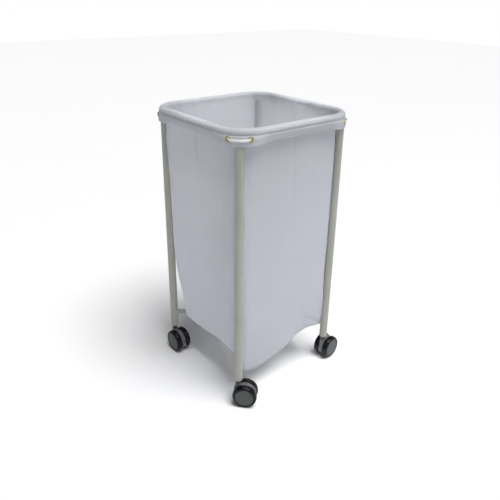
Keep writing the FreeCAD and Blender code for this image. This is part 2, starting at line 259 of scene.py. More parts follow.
def rounded_box(name, low, high, bevel):
    """A box between two corners, with its edges rounded."""
    spans = list(zip(low, high))
    corners = [(x, y, z) for x in spans[0] for y in spans[1] for z in spans[2]]
    faces = [(0, 1, 3, 2), (4, 6, 7, 5), (0, 4, 5, 1), (2, 3, 7, 6), (0, 2, 6, 4), (1, 5, 7, 3)]
    obj = new_object(name, corners, faces)
    work = bmesh.new()
    work.from_mesh(obj.data)
    bmesh.ops.bevel(
        work, geom=work.edges[:], offset=bevel, segments=3, affect="EDGES", profile=0.5
    )
    work.to_mesh(obj.data)
    work.free()
    return obj


# ==== materials ====


class Nodes:
    """A small helper that builds a material's node tree."""

    def __init__(self, name):
        self.material = bpy.data.materials.new(name)
        self.material.use_nodes = True
        self.tree = self.material.node_tree
        self.shader = self.tree.nodes["Principled BSDF"]

    def add(self, kind, **inputs):
        node = self.tree.nodes.new(kind)
        for key, value in inputs.items():
            node.inputs[key.replace("_", " ")].default_value = value
        return node

    def link(self, source, target):
        self.tree.links.new(source, target)

    def place(self):
        return self.add("ShaderNodeTexCoord").outputs["Object"]

    def noise(self, scale, detail=3.0, rough=0.5, stretch=None):
        """Noise over the object's own coordinates, as a value from 0 to 1."""
        where = self.place()
        if stretch:
            mapping = self.add("ShaderNodeMapping")
            mapping.inputs["Scale"].default_value = stretch
            self.link(where, mapping.inputs["Vector"])
            where = mapping.outputs["Vector"]
        node = self.add("ShaderNodeTexNoise", Scale=scale, Detail=detail, Roughness=rough)
        self.link(where, node.inputs["Vector"])
        return node.outputs["Fac"]

    def span(self, value, low, high, from_low=0.35, from_high=0.65):
        """Spreads a value between two limits."""
        node = self.add("ShaderNodeMapRange")
        node.inputs["From Min"].default_value = from_low
        node.inputs["From Max"].default_value = from_high
        node.inputs["To Min"].default_value = low
        node.inputs["To Max"].default_value = high
        self.link(value, node.inputs["Value"])
        return node.outputs["Result"]

    def mix(self, factor, first, second):
        node = self.add("ShaderNodeMix")
        node.data_type = "RGBA"
        sockets = [s for s in node.inputs if s.type == "RGBA"]
        sockets[0].default_value = (*first, 1)
        sockets[1].default_value = (*second, 1)
        self.link(factor, node.inputs["Factor"])
        return [s for s in node.outputs if s.type == "RGBA"][0]

    def bump(self, height, strength, distance, before=None):
        node = self.add("ShaderNodeBump", Strength=strength, Distance=distance)
        self.link(height, node.inputs["Height"])
        if before:
            self.link(before, node.inputs["Normal"])
        return node.outputs["Normal"]

    def set(self, name, value):
        self.shader.inputs[name].default_value = value

    def let_light_through(self, colour, share):
        """Mixes in a shader that shows the light falling on the back of thin cloth."""
        behind = self.add("ShaderNodeBsdfTranslucent", Color=(*colour, 1))
        both = self.add("ShaderNodeMixShader", Fac=share)
        self.link(self.shader.outputs["BSDF"], both.inputs[1])
        self.link(behind.outputs["BSDF"], both.inputs[2])
        self.link(both.outputs["Shader"], self.tree.nodes["Material Output"].inputs["Surface"])

    def feed(self, name, output):
        self.link(output, self.shader.inputs[name])


def grained(name, dark, light, blotch, rough, grain, grain_depth):
    """A finish whose colour and gloss vary a little, with a fine grain in the surface."""
    nodes = Nodes(name)
    nodes.feed("Base Color", nodes.mix(nodes.span(nodes.noise(blotch), 0, 1), dark, light))
    nodes.feed("Roughness", nodes.span(nodes.noise(blotch * 3), *rough))
    nodes.feed("Normal", nodes.bump(nodes.noise(grain, 2.0), 0.35, grain_depth))
    return nodes


def paint():
    dark, light = (0.35, 0.352, 0.314), (0.388, 0.388, 0.35)
    nodes = grained("frame_paint", dark, light, 14, (0.36, 0.5), 700, 0.1 * MM)
    nodes.set("Coat Weight", 0.15)
    nodes.set("Coat Roughness", 0.3)
    return nodes.material


def socket_plastic():
    dark, light = (0.34, 0.335, 0.285), (0.39, 0.385, 0.33)
    return grained("socket_plastic", dark, light, 60, (0.4, 0.55), 900, 0.1 * MM).material


def rubber():
    dark, light = (0.003, 0.003, 0.003), (0.006, 0.006, 0.006)
    nodes = grained("tyre_rubber", dark, light, 40, (0.24, 0.38), 600, 0.12 * MM)
    nodes.set("Specular IOR Level", 0.22)
    return nodes.material


def cap_plastic():
    dark, light = (0.04, 0.049, 0.049), (0.052, 0.063, 0.062)
    return grained("cap_plastic", dark, light, 30, (0.3, 0.42), 1100, 0.06 * MM).material


def body_plastic():
    dark, light = (0.13, 0.134, 0.15), (0.19, 0.195, 0.215)
    return grained("caster_plastic", dark, light, 45, (0.2, 0.34), 900, 0.08 * MM).material


def collar_plastic():
    dark, light = (0.07, 0.075, 0.075), (0.1, 0.105, 0.105)
    return grained("collar_plastic", dark, light, 60, (0.25, 0.4), 900, 0.06 * MM).material


def wheel_plastic():
    dark, light = (0.015, 0.015, 0.016), (0.03, 0.03, 0.032)
    return grained("wheel_plastic", dark, light, 50, (0.35, 0.5), 900, 0.08 * MM).material


def steel():
    dark, light = (0.5, 0.51, 0.52), (0.62, 0.63, 0.64)
    nodes = grained("caster_steel", dark, light, 90, (0.25, 0.4), 1500, 0.04 * MM)
    nodes.set("Metallic", 1.0)
    return nodes.material


def brass():
    dark, light = (0.3, 0.26, 0.055), (0.5, 0.43, 0.12)
    nodes = grained("eyelet_brass", dark, light, 160, (0.18, 0.34), 1500, 0.03 * MM)
    nodes.set("Metallic", 1.0)
    return nodes.material


def threads(nodes, pitch, direction):
    """Bands of thread along one direction of the cloth's own map, from 0 to 1."""
    where = nodes.add("ShaderNodeUVMap").outputs["UV"]
    wave = nodes.add("ShaderNodeTexWave", Scale=1.0 / pitch / 3.18, Distortion=0.6, Detail=1.0)
    wave.inputs["Detail Scale"].default_value = 0.4
    wave.bands_direction = direction
    nodes.link(where, wave.inputs["Vector"])
    return wave.outputs["Fac"]


def cloth(name, dark, light, pitch, see_through):
    """Plain woven cloth: warp and weft, uneven yarn, soft creases and a slight sheen."""
    nodes = Nodes(name)
    warp = threads(nodes, pitch, "X")
    weft = threads(nodes, pitch, "Y")
    weave = nodes.add("ShaderNodeMath")
    weave.operation = "MAXIMUM"
    nodes.link(warp, weave.inputs[0])
    nodes.link(weft, weave.inputs[1])
    tone = nodes.span(nodes.noise(9, 4.0, 0.6), 0, 1, 0.3, 0.7)
    nodes.feed("Base Color", nodes.mix(tone, dark, light))
    nodes.feed("Roughness", nodes.span(nodes.noise(70), 0.72, 0.88))
    creases = nodes.bump(nodes.noise(26, 3.0, 0.55, (1, 1, 0.45)), 0.2, 3 * MM)
    slubs = nodes.bump(nodes.noise(230, 2.0), 0.25, 0.3 * MM, creases)
    nodes.feed("Normal", nodes.bump(weave.outputs["Value"], 0.3, 0.12 * MM, slubs))
    nodes.set("Sheen Weight", 0.12)
    nodes.set("Sheen Roughness", 0.5)
    nodes.let_light_through((0.91, 0.915, 0.93), see_through)
    return nodes.material


def bag_cloth():
    return cloth("bag_cloth", (0.69, 0.706, 0.753), (0.74, 0.754, 0.8), 0.9 * MM, 0.6)


def elastic_cloth():
    return cloth("elastic_braid", (0.84, 0.84, 0.85), (0.92, 0.92, 0.93), 0.7 * MM, 0.1)


def thread_material():
    dark, light = (0.62, 0.63, 0.68), (0.72, 0.73, 0.77)
    return grained("sewing_thread", dark, light, 300, (0.6, 0.75), 2500, 0.05 * MM).material


# ==== the bag ====


def column_layout():
    """Quarter, whether on a corner, and the fraction along it, for every column."""
    quarter = np.repeat(np.arange(4), QUARTER)
    step = np.tile(np.arange(QUARTER), 4)
    on_corner = step >= SIDE_COLUMNS
    along = np.where(on_corner, (step - SIDE_COLUMNS) / CORNER_COLUMNS, step / SIDE_COLUMNS)
    return quarter, on_corner, along


def quarter_turns(x, y, quarter):
    turned_x = np.choose(quarter, [x, -y, -x, y])
    turned_y = np.choose(quarter, [y, x, -y, -x])
    return turned_x, turned_y


def loop_points(half, radii, layout):
    """Where every column lies on a square with rounded corners, and its outward direction.

    There is a radius for each corner, in the order in which the sides end at them.
    """
    quarter, on_corner, along = layout
    after = np.choose(quarter, [np.broadcast_to(r, quarter.shape) for r in radii])
    before = np.choose((quarter - 1) % 4, [np.broadcast_to(r, quarter.shape) for r in radii])
    angle = along * math.pi / 2
    centre = half - after
    side_y = before - half + (2 * half - before - after) * along
    x = np.where(on_corner, centre + after * np.cos(angle), half)
    y = np.where(on_corner, centre + after * np.sin(angle), side_y)
    out_x = np.where(on_corner, np.cos(angle), 1.0)
    out_y = np.where(on_corner, np.sin(angle), 0.0)
    return quarter_turns(x, y, quarter), quarter_turns(out_x, out_y, quarter)


def ramp(value, start, end):
    """Rises smoothly from 0 to 1 as a value goes from start to end."""
    t = np.clip((value - start) / (end - start), 0, 1)
    return t * t * (3 - 2 * t)


def section_at(z):
    """The walls' half-width, the radius of each corner and the lean, at a height."""
    levels = [level * MM for level, _, _ in WALL_SECTIONS][::-1]
    halves = [half * MM for _, half, _ in WALL_SECTIONS][::-1]
    sizes = [radius * MM for _, _, radius in WALL_SECTIONS][::-1]
    slack = ramp(z, SLACK_TOP, SLACK_BOTTOM)
    radii = [np.interp(z, levels, sizes) + extra * MM * slack for extra in CORNER_SLACK]
    return np.interp(z, levels, halves), radii, LEAN * ramp(z, LEAN_TOP, LEAN_BOTTOM)


def edge_heights(layout):
    """The height of the walls' bottom edge at every column, lifted over the cross brace."""
    half, radii, lean = section_at(BRACE_Z)
    quarter, on_corner, along = layout
    (x, y), _ = loop_points(half, radii, layout)
    x, y = x + lean, y - lean
    side = np.where(on_corner & (along > 0.5), (quarter + 1) % 4, quarter)
    place = np.choose(side, [y, -x, -y, x])
    heights = np.zeros(COLUMNS)
    for index, line in enumerate([RIGHT_EDGE, REAR_EDGE, LEFT_EDGE, FRONT_EDGE]):
        here = side == index
        heights[here] = np.interp(place[here], [p * MM for p, _ in line], [z * MM for _, z in line])
    saddle = np.array([brace_saddle(a, b) for a, b in zip(x, y)])
    return smoothed_loop(np.maximum(smoothed_loop(heights, 4), saddle), 1)


def smoothed_loop(values, times):
    for _ in range(times):
        values = (np.roll(values, 1) + 2 * values + np.roll(values, -1)) / 4
    return values


def wavy(x, y, z, seed):
    """Smooth noise between about -1 and 1."""
    return noise.noise(Vector((x, y, z + 37.1 * seed)))


def over_leg(distance):
    """How far the hem has its shape over a leg, by the distance along it from a corner's middle."""
    return ramp(distance, LEG_FADE, LEG_FULL)


def from_corner(layout):
    """The distance along the ring from every column to the middle of the nearest corner."""
    _, on_corner, along = layout
    straight = 2 * (RING_HALF - RING_CORNER)
    on_side = HALF_TURN + straight * np.minimum(along, 1 - along)
    return np.where(on_corner, np.abs(along - 0.5) * 2 * HALF_TURN, on_side)


def rim_profile(layout):
    """Rows of (distance outward, height) arrays: round the hem, and over the ring."""
    share = over_leg(from_corner(layout))
    rows = []
    for side_out, side_up, corner_out, corner_up in HEM_PROFILE:
        out = side_out + (corner_out - side_out) * share
        up = side_up + (corner_up - side_up) * share
        rows.append((out * MM, up * MM))
    level = np.ones(COLUMNS)
    for degrees in range(-16, 181, 14):
        angle = math.radians(degrees)
        rows.append((ROLL_RADIUS * math.cos(angle) * level, ROLL_RADIUS * math.sin(angle) * level))
    below_roll = (-ROLL_RADIUS - 0.2 * MM, -3.2 * MM)
    rows.append((below_roll[0] * level, below_roll[1] * level))
    return rows


def rim_rows(layout):
    """The rim's points: the hem, gently uneven, the roll over the ring, and its inner side."""
    rows = []
    for out, up in rim_profile(layout):
        radii = [RING_CORNER + out] * 4
        (x, y), (out_x, out_y) = loop_points(RING_HALF + out, radii, layout)
        drop = np.clip((-up - 4 * MM) / (24 * MM), 0, 1)
        shift = np.zeros(COLUMNS)
        lift = np.zeros(COLUMNS)
        for k in range(COLUMNS):
            if out[k] > 0 and up[k] < -2 * MM:
                shift[k] = 0.55 * MM * wavy(x[k] * 26, y[k] * 26, 0.0, 1) * drop[k]
                shift[k] += 0.45 * MM * wavy(x[k] * 95, y[k] * 95, 0.0, 6) * (1 - drop[k])
                lift[k] = 1.2 * MM * wavy(x[k] * 15, y[k] * 15, 0.5, 2) * drop[k]
            else:
                inner = ramp(out[k], 10 * MM, -12 * MM)
                shift[k] = 0.45 * MM * wavy(x[k] * 70, y[k] * 70, up[k] * 20, 3)
                shift[k] += 1.5 * MM * inner * wavy(x[k] * 62, y[k] * 62, 0.0, 5)
                lift[k] = 0.3 * MM * wavy(x[k] * 40, y[k] * 40, 0.0, 4)
                lift[k] += 0.5 * MM * inner * wavy(x[k] * 120, y[k] * 120, 0.0, 10)
        push = np.where(from_corner(layout) < LEG_FULL, np.maximum(shift, 0.0), shift)
        rows.append(np.stack([x + out_x * push, y + out_y * push, RING_Z + up + lift], axis=1))
    return rows


def gathers(x, y, depth):
    """The small pleats that the cloth has under the rim, where it turns from round to square."""
    fade = math.exp(-depth / (55 * MM))
    fine = 1.4 * MM * wavy(x * 110, y * 110, depth * 8, 11)
    return fade * (3.0 * MM * wavy(x * 62, y * 62, depth * 5, 5) + fine)


def folds(x, y, depth):
    """Broad soft folds and finer ripples that grow towards the lower part of the bag."""
    settle = min(1.0, depth / (200 * MM))
    broad = 5.0 * MM * settle * wavy(x * 8, y * 8, depth * 1.3, 8)
    drape = 1.7 * MM * settle * wavy(x * 22, y * 22, depth * 3.2, 7)
    ripples = 0.7 * MM * settle * wavy(x * 46, y * 46, depth * 14, 9)
    return broad + drape + ripples


def seam_puckers(x, y, rise):
    """Small ripples just above the seam that joins the walls to the bottom."""
    return 1.5 * MM * math.exp(-rise / (30 * MM)) * wavy(x * 75, y * 75, rise * 9, 13)


def middle_fold(across, depth):
    """The line that the bag was folded flat along, down the middle of each side."""
    fade = max(0.0, 1 - depth / (430 * MM))
    return -3.0 * MM * fade * max(0.0, 1 - abs(across) / (11 * MM))


def corner_puckers(across, height):
    """Short folds that fan out of a side's lower right corner, above the cross brace."""
    off_x = 168 * MM - across
    off_z = height - BRACE_Z
    distance = math.hypot(off_x, off_z)
    angle = math.atan2(off_z, off_x)
    fade = math.exp(-distance / (60 * MM)) * min(1.0, distance / (25 * MM))
    return 3.2 * MM * math.sin(angle * 9) * fade


def corner_pleat(quarter, along, depth):
    """The fold beside each corner's middle, where the cloth turns past a leg."""
    fade = ramp(depth, 2 * MM, 26 * MM) * ramp(depth, 420 * MM, 120 * MM)
    wander = 0.62 + 0.05 * math.sin(depth * 11 + quarter * 2.1)
    return 6.5 * MM * fade * np.exp(-(((along - wander) / 0.07) ** 2))


def clear_of_legs(x, y, z):
    """Moves points off the legs, so that the cloth wraps round the inner side of each leg."""
    room = (LEG_RADIUS + 1.0 * MM) * ramp(z, LEG_HIGH.z + 14 * MM, LEG_HIGH.z - 2 * MM)
    for sign_x in (-1, 1):
        for sign_y in (-1, 1):
            off_x = x - sign_x * LEG_OFFSET
            off_y = y - sign_y * LEG_OFFSET
            scale = np.maximum(1, room / np.hypot(off_x, off_y))
            x = sign_x * LEG_OFFSET + off_x * scale
            y = sign_y * LEG_OFFSET + off_y * scale
    return x, y


def wall_rows(layout):
    """The walls, from under the ring down to their bottom edge."""
    quarter, on_corner, along = layout
    bottom = edge_heights(layout)
    top = WALL_SECTIONS[0][0] * MM
    hollow = HOLLOW * np.where(on_corner, 0.0, np.sin(math.pi * along))
    hollow = hollow * np.where(quarter == LEFT_SIDE, 2.0, 1.0)
    rows = []
    for row in range(WALL_ROWS + 1):
        z = top + (bottom - top) * row / WALL_ROWS
        half, radii, lean = section_at(z)
        (x, y), (out_x, out_y) = loop_points(half, radii, layout)
        across = np.choose(quarter, [y, -x, -y, x])
        depth = top - z
        turn_under = TURN_UNDER * np.clip(1 - (z - bottom) / (3 * TURN_UNDER), 0, 1) ** 2
        shift = -turn_under - hollow * np.clip(depth / HOLLOW_FROM, 0, 1)
        for k in range(COLUMNS):
            loose = CORNER_LOOSE if on_corner[k] else 1.0
            shift[k] += loose * (gathers(x[k], y[k], depth[k]) + folds(x[k], y[k], depth[k]))
            shift[k] += loose * seam_puckers(x[k], y[k], z[k] - bottom[k])
            if on_corner[k]:
                shift[k] += corner_pleat(quarter[k], along[k], depth[k])
            else:
                shift[k] += middle_fold(across[k], depth[k])
            if quarter[k] == FRONT_SIDE:
                shift[k] += loose * corner_puckers(across[k], z[k])
        x, y = clear_of_legs(x + out_x * shift + lean, y + out_y * shift - lean, z)
        rows.append(np.stack([x, y, z], axis=1))
    return rows


def grid_boundary():
    """The four sides of the bottom's grid, from the walls' last row. Corners lie on the brace."""
    start = 2 * QUARTER + SIDE_COLUMNS + CORNER_COLUMNS // 2
    steps = np.arange(QUARTER + 1)
    front = (start + steps) % COLUMNS
    right = (start + QUARTER + steps) % COLUMNS
    rear = (start + 3 * QUARTER - steps) % COLUMNS
    left = (start + 4 * QUARTER - steps) % COLUMNS
    return front, right, rear, left


def brace_saddle(x, y):
    """The lowest that cloth over the cross brace can be at a point, or nothing beside it."""
    room = BRACE_RADIUS + 1.2 * MM
    off = min(abs(x - y), abs(x + y)) / math.sqrt(2)
    if off >= room:
        return -1.0
    return BRACE_Z + math.sqrt(room * room - off * off)


def bottom_points(edge):
    """The bottom's grid: it rests on the brace along the diagonals, and hangs between."""
    front, right, rear, left = [edge[side] for side in grid_boundary()]
    count = QUARTER
    ridge = BRACE_Z + BRACE_RADIUS + 1.2 * MM
    grid = np.zeros((count + 1, count + 1, 3))
    for i in range(count + 1):
        for j in range(count + 1):
            u = i / count
            v = j / count
            across = (1 - v) * front[i] + v * rear[i]
            along = (1 - u) * left[j] + u * right[j]
            ends = (1 - v) * ((1 - u) * front[0] + u * front[-1])
            ends = ends + v * ((1 - u) * rear[0] + u * rear[-1])
            point = across + along - ends
            grid[i, j] = (*point[:2], lobe_height(u, v, front, right, rear, left, ridge))
    return grid


def lobe_height(u, v, front, right, rear, left, ridge):
    """The bottom's height: as deep as the wall's edge at the outside, rising to the middle."""
    a = 2 * u - 1
    b = 2 * v - 1
    reach = max(abs(a), abs(b))
    if reach == 0:
        return ridge
    if abs(b) >= abs(a):
        side = front if b < 0 else rear
        place = (a / reach + 1) / 2
    else:
        side = left if a < 0 else right
        place = (b / reach + 1) / 2
    edge_z = np.interp(place * QUARTER, np.arange(QUARTER + 1), side[:, 2])
    return ridge - (ridge - edge_z) * reach**1.3


def settle_bottom(grid):
    """Smooths the bottom's grid and keeps it on top of the brace."""
    for _ in range(6):
        inner = grid[1:-1, 1:-1]
        around = grid[:-2, 1:-1] + grid[2:, 1:-1] + grid[1:-1, :-2] + grid[1:-1, 2:]
        grid[1:-1, 1:-1] = inner * 0.5 + around * 0.125
        for i in range(1, QUARTER):
            for j in range(1, QUARTER):
                x, y, z = grid[i, j]
                grid[i, j, 2] = max(z, brace_saddle(x, y))
    return grid


def bag_mesh():
    """The whole bag as one open sheet, from the hem to the bottom."""
    layout = column_layout()
    rows = rim_rows(layout) + wall_rows(layout)
    grid = settle_bottom(bottom_points(rows[-1]))
    vertices = np.concatenate(rows).tolist()
    faces = []
    for row in range(len(rows) - 1):
        for k in range(COLUMNS):
            after = (k + 1) % COLUMNS
            base = row * COLUMNS
            below = base + COLUMNS
            faces.append((base + k, below + k, below + after, base + after))
    index = np.full((QUARTER + 1, QUARTER + 1), -1)
    last = (len(rows) - 1) * COLUMNS
    front, right, rear, left = grid_boundary()
    index[:, 0] = last + front
    index[-1, :] = last + right
    index[:, -1] = last + rear
    index[0, :] = last + left
    for i in range(1, QUARTER):
        for j in range(1, QUARTER):
            index[i, j] = len(vertices)
            vertices.append(tuple(grid[i, j]))
    for i in range(QUARTER):
        for j in range(QUARTER):
            faces.append(
                tuple(int(index[p, q]) for p, q in ((i, j), (i, j + 1), (i + 1, j + 1), (i + 1, j)))
            )
    obj = new_object("bag_cloth", vertices, faces, 80)
    cloth_map(obj)
    return obj, rows[STITCH_ROW]


def cloth_map(obj):
    """A map of the cloth in metres, along the weave's two directions."""
    layer = obj.data.uv_layers.new(name="weave")
    for face in obj.data.polygons:
        flat = abs(face.normal.z) > 0.7
        side_on = abs(face.normal.x) > abs(face.normal.y)
        for corner in face.loop_indices:
            x, y, z = obj.data.vertices[obj.data.loops[corner].vertex_index].co
            across = x if flat or not side_on else y
            layer.data[corner].uv = (across, y if flat else z)


def bag_piece():
    obj, seam = bag_mesh()
    thicken = obj.modifiers.new("thickness", "SOLIDIFY")
    thicken.thickness = CLOTH
    thicken.offset = 0
    apply_modifiers(obj)
    boolean(obj, [joined(eyelet_drills(), "drills")], "DIFFERENCE")
    obj.data.materials.append(bag_cloth())
    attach(obj, "bag")
    panels = ["bag_panel_front", "bag_panel_right", "bag_panel_rear", "bag_panel_left"]
    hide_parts(*panels, "bag_bottom", "bag_hem")
    seam_piece(seam)


def seam_piece(row):
    """The stitches that close the hem, all the way round it."""
    points = [Vector(point) for point in row]
    lengths = [(points[(k + 1) % COLUMNS] - points[k]).length for k in range(COLUMNS)]
    count = round(sum(lengths) / (4.4 * MM))
    ends = np.cumsum([0] + lengths)
    loop = np.array([tuple(point) for point in points + points[:1]])

    def place(where):
        return Vector([np.interp(where % ends[-1], ends, loop[:, axis]) for axis in range(3)])

    vertices = []
    faces = []
    sides = 6
    section = [(math.cos(a), math.sin(a)) for a in np.arange(sides) * 2 * math.pi / sides]
    stitch_shape = [(-1.6, 0.1), (-1.2, 0.26), (0.0, 0.32), (1.2, 0.26), (1.6, 0.1)]
    for stitch in range(count):
        centre = ends[-1] * stitch / count
        base = len(vertices)
        for offset, width in stitch_shape:
            where = centre + offset * MM
            middle = place(where)
            outward = (place(where + MM) - middle).cross(Vector((0, 0, 1))).normalized()
            middle = middle + outward * (CLOTH / 2 + 0.05 * MM)
            for a, b in section:
                vertices.append(middle + outward * (a * width * MM) + Vector((0, 0, b * width * MM)))
        faces += skin(len(stitch_shape), sides, False, base)
        faces.append(tuple(range(base, base + sides)))
        faces.append(tuple(range(len(vertices) - sides, len(vertices))))
    piece = new_object("hem_seam", vertices, faces)
    piece.data.materials.append(thread_material())
    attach(piece, "bag")


# ==== eyelets and elastic ====


def corner_frames():
    """For each corner: the centre that its curve turns about, and the angle of its middle."""
    straight = RING_HALF - RING_CORNER
    frames = []
    for sign_x, sign_y, angle in ((1, 1, 45), (-1, 1, 135), (-1, -1, 225), (1, -1, 315)):
        frames.append((Vector((sign_x * straight, sign_y * straight, RING_Z)), angle))
    return frames


def eyelet_matrices():
    """Turns the Y axis outward at every eyelet, and puts it on the hem's face."""
    matrices = []
    for centre, angle in corner_frames():
        for offset in (-EYELET_ANGLE, EYELET_ANGLE):
            turn = math.radians(angle + offset)
            outward = Vector((math.cos(turn), math.sin(turn), 0))
            place = centre + outward * (RING_CORNER + HEM_FACE) + Vector((0, 0, EYELET_Z))
            spin = Matrix.Rotation(turn - math.pi / 2, 4, "Z")
            matrices.append(Matrix.Translation(place) @ spin)
    return matrices


def eyelet_drills():
    """Rods that cut the holes of the eyelets through the hem."""
    radius = EYELET_HOLE + 0.2 * MM
    outline = [(0, -7 * MM), (radius, -7 * MM), (radius, 4 * MM), (0, 4 * MM)]
    single = lathe("drill", outline, 32)
    copies = [copy_of(single, "drills", matrix) for matrix in eyelet_matrices()]
    bpy.data.objects.remove(single)
    return copies


def eyelets_piece():
    """Eight rolled brass eyelets, each with a short barrel into the cloth."""
    dome = []
    wide = (EYELET_RADIUS - EYELET_HOLE) / 2
    middle = (EYELET_RADIUS + EYELET_HOLE) / 2
    for degrees in range(0, 181, 20):
        angle = math.radians(degrees)
        dome.append((middle + wide * math.cos(angle), 1.5 * MM * math.sin(angle)))
    barrel = [(EYELET_HOLE, -3.0 * MM), (EYELET_HOLE + 0.5 * MM, -3.0 * MM)]
    back = [(EYELET_HOLE + 0.5 * MM, -0.3 * MM), (EYELET_RADIUS - 0.2 * MM, -0.3 * MM)]
    single = lathe("eyelet", dome + barrel + back, 40)
    copies = [copy_of(single, "eyelets", matrix) for matrix in eyelet_matrices()]
    bpy.data.objects.remove(single)
    piece = joined(copies, "brass_eyelets")
    piece.data.materials.append(brass())
    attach(piece, "bag")
    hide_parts("eyelets")


def joined(objects, name):
    """One object made of several."""
    work = bmesh.new()
    for obj in objects:
        work.from_mesh(obj.data)
        bpy.data.objects.remove(obj)
    mesh = bpy.data.meshes.new(name)
    work.to_mesh(mesh)
    work.free()
    piece = bpy.data.objects.new(name, mesh)
    bpy.context.scene.collection.objects.link(piece)
    return piece


def elastic_path():
    """The elastic's middle line: its place, the way it faces, half its width and half its thickness."""
    inside = 12.8 * MM
    inside_side = 7.7 * MM
    outside = HEM_FACE + 2.3 * MM
    steps = 100
    hole = EYELET_ANGLE * math.pi / 180 * RING_CORNER
    path = []
    for centre, middle in corner_frames():
        for step in range(steps + 1):
            place = LEG_FADE * (2 * step / steps - 1)
            bent = max(-HALF_TURN, min(HALF_TURN, place))
            angle = math.radians(middle) + bent / RING_CORNER
            outward = Vector((math.cos(angle), math.sin(angle), 0))
            onward = Vector((-outward.y, outward.x, 0))
            out = ramp(abs(place), hole + 1.5 * MM, hole - 3.5 * MM)
            span = max(0.0, 1 - (place / hole) ** 2)
            leg = over_leg(abs(place))
            hidden = inside_side + (inside - inside_side) * leg
            reach = RING_CORNER + hidden + (outside + 1.2 * MM * span - hidden) * out
            spot = centre + outward * reach + onward * (place - bent)
            spot = spot + Vector((0, 0, EYELET_Z - 2.2 * MM * span))
            near = math.exp(-(((abs(place) - hole) / (4.5 * MM)) ** 2))
            lean = 0.25 * math.sin(math.pi * place / hole) * span - 0.36 * (1 - leg)
            facing = (outward + Vector((0, 0, lean))).normalized()
            path.append((spot, facing, 3.4 * MM - 0.6 * MM * near, 0.3 * MM + 0.6 * MM * out))
    return path


def elastic_piece():
    """The flat elastic: hidden in the hem along the sides, and shown between the eyelets."""
    section = [(-1, -0.5), (-0.9, -1), (0.9, -1), (1, -0.5), (1, 0.5), (0.9, 1), (-0.9, 1), (-1, 0.5)]
    path = elastic_path()
    vertices = []
    for point, facing, width, thick in path:
        side = Vector((0, 0, 1)) - facing * facing.z
        side.normalize()
        for a, b in section:
            vertices.append(point + side * (a * width) + facing * (b * thick))
    piece = new_object("elastic_band", vertices, skin(len(path), len(section)), 60)
    cloth_map(piece)
    piece.data.materials.append(elastic_cloth())
    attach(piece, "bag")
    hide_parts("elastic_loop")


# ==== casters ====


def caster_matrix(corner):
    """From a caster's own axes (trailing along +X, on the floor) to its place in the frame."""
    swivel = Vector(JOINTS["swivel_" + corner]["pos_m"])
    axle = Vector(JOINTS["wheel_spin_" + corner + "_1"]["pos_m"])
    trail = axle - swivel
    turn = math.atan2(trail.y, trail.x)
    return Matrix.Translation((swivel.x, swivel.y, 0)) @ Matrix.Rotation(turn, 4, "Z")


def caster_trail():
    swivel = Vector(JOINTS["swivel_front_left"]["pos_m"])
    axle = Vector(JOINTS["wheel_spin_front_left_1"]["pos_m"])
    return math.hypot(axle.x - swivel.x, axle.y - swivel.y)


def fender(trail):
    """The body between the wheels: a ribbed round fender and the stem's boss."""
    section = [
        (9.0, -7.2),
        (33.0, -7.2),
        (34.0, -6.4),
        (34.0, -4.2),
        (32.4, -3.7),
        (32.4, -1.8),
        (34.0, -1.3),
        (34.0, 1.3),
        (32.4, 1.8),
        (32.4, 3.7),
        (34.0, 4.2),
        (34.0, 6.4),
        (33.0, 7.2),
        (9.0, 7.2),
    ]
    vertices = []
    steps = 66
    first, last = -44.0, 224.0  # degrees round the axle, open at the floor
    for step in range(steps + 1):
        angle = math.radians(first + (last - first) * step / steps)
        for radius, side in section:
            x = trail + radius * MM * math.cos(angle)
            vertices.append((x, side * MM, WHEEL_RADIUS + radius * MM * math.sin(angle)))
    count = len(section)
    faces = skin(steps + 1, count, False)
    faces.append(tuple(range(count)))
    faces.append(tuple(reversed(range(steps * count, (steps + 1) * count))))
    band = new_object("fender", vertices, faces)
    boss = rounded_box(
        "boss", (-8.0 * MM, -7.2 * MM, 40 * MM), (8.0 * MM, 7.2 * MM, 72.5 * MM), 1.6 * MM
    )
    boolean(band, [boss], "UNION")
    band.data.shade_smooth()
    band.data.set_sharp_from_angle(angle=math.radians(32))
    return band


def collar():
    """The grooved collar round the stem, between the fender and the leg."""
    profile = [
        (5.6, 71.0),
        (7.6, 71.0),
        (8.0, 71.6),
        (8.0, 74.6),
        (7.2, 75.1),
        (7.2, 75.9),
        (8.0, 76.4),
        (8.0, 79.2),
        (7.2, 79.7),
        (7.2, 80.5),
        (8.0, 81.0),
        (8.0, 84.0),
        (7.4, 84.7),
        (5.6, 84.7),
    ]
    ring = lathe("collar", [(r * MM, h * MM) for r, h in profile], 48)
    ring.data.transform(Matrix.Rotation(math.pi / 2, 4, "X"))
    outward_normals(ring)
    return ring


